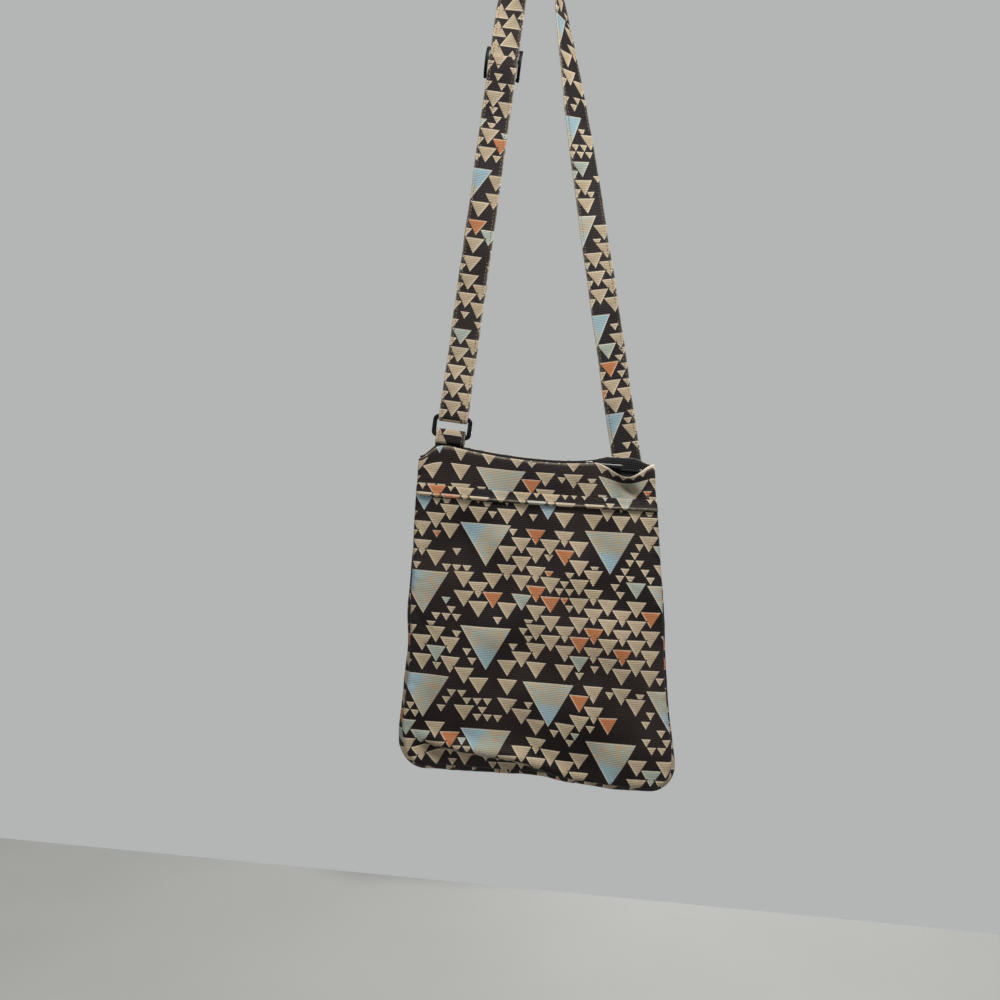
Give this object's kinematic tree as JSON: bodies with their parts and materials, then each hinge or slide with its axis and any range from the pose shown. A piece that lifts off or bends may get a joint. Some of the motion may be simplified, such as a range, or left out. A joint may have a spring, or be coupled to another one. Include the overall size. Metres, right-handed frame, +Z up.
{
  "type": "crossbody bag",
  "caption": "Flat printed-cloth crossbody bag with a zip top, a front slip pocket and an adjustable strap on a ring and slider, hung by its strap.",
  "frame": {"origin": "the point under the strap's highest bend that bears on the top of the peg it hangs over", "axes": "+X to the right as seen from the front, +Y to the back, +Z up"},
  "size_m": [0.2386, 0.0423, 0.7693],
  "materials": {
    "print_cloth": "matte ribbed cloth with a triangle print",
    "lining_cloth": "plain dark lining",
    "zip_tape": "woven zip tape",
    "zip_coil": "moulded coil",
    "dark_metal": "satin black",
    "pale_metal": "satin plated"
  },
  "bodies": {
    "bag": {"front_panel": "print_cloth", "back_panel": "print_cloth", "pocket_panel": "print_cloth", "pocket_binding": "print_cloth", "gusset": "print_cloth", "lining_front": "lining_cloth", "lining_back": "lining_cloth", "zip_tape_front": "zip_tape", "zip_tape_back": "zip_tape", "zip_coil_front": "zip_coil", "zip_coil_back": "zip_coil", "zip_top_stop_front": "pale_metal", "zip_top_stop_back": "pale_metal", "zip_bottom_stop": "pale_metal", "strap_main": "print_cloth", "strap_return": "print_cloth", "ring_tab": "print_cloth"},
    "ring": {"ring": "dark_metal"},
    "strap_slider": {"strap_slider": "dark_metal", "strap_end_fold": "print_cloth"},
    "zip_slider": {"zip_slider": "pale_metal"},
    "zip_pull": {"zip_pull": "pale_metal"}
  },
  "joints": [
    {"name": "ring_rock", "type": "hinge", "parent": "bag", "child": "ring", "pos_m": [-0.07285, -0.00315, -0.4469], "axis": [0.9904, 0, -0.1384], "range_deg": [-6, 6]},
    {"name": "strap_slider_slide", "type": "slide", "parent": "bag", "child": "strap_slider", "axis": [0.1384, 0, 0.9904], "range_m": [-0.18, 0.02], "deforming": ["strap_return"]},
    {"name": "zip_slider_slide", "type": "slide", "parent": "bag", "child": "zip_slider", "axis": [0.9976, 0, -0.0698], "range_m": [-0.13, 0.038], "deforming": ["zip_tape_front", "zip_coil_front"]},
    {"name": "zip_pull_hinge", "type": "hinge", "parent": "zip_slider", "child": "zip_pull", "pos_m": [0.04625, -0.0081, -0.48708], "axis": [0, -1, 0], "range_deg": [0, 175]}
  ]
}
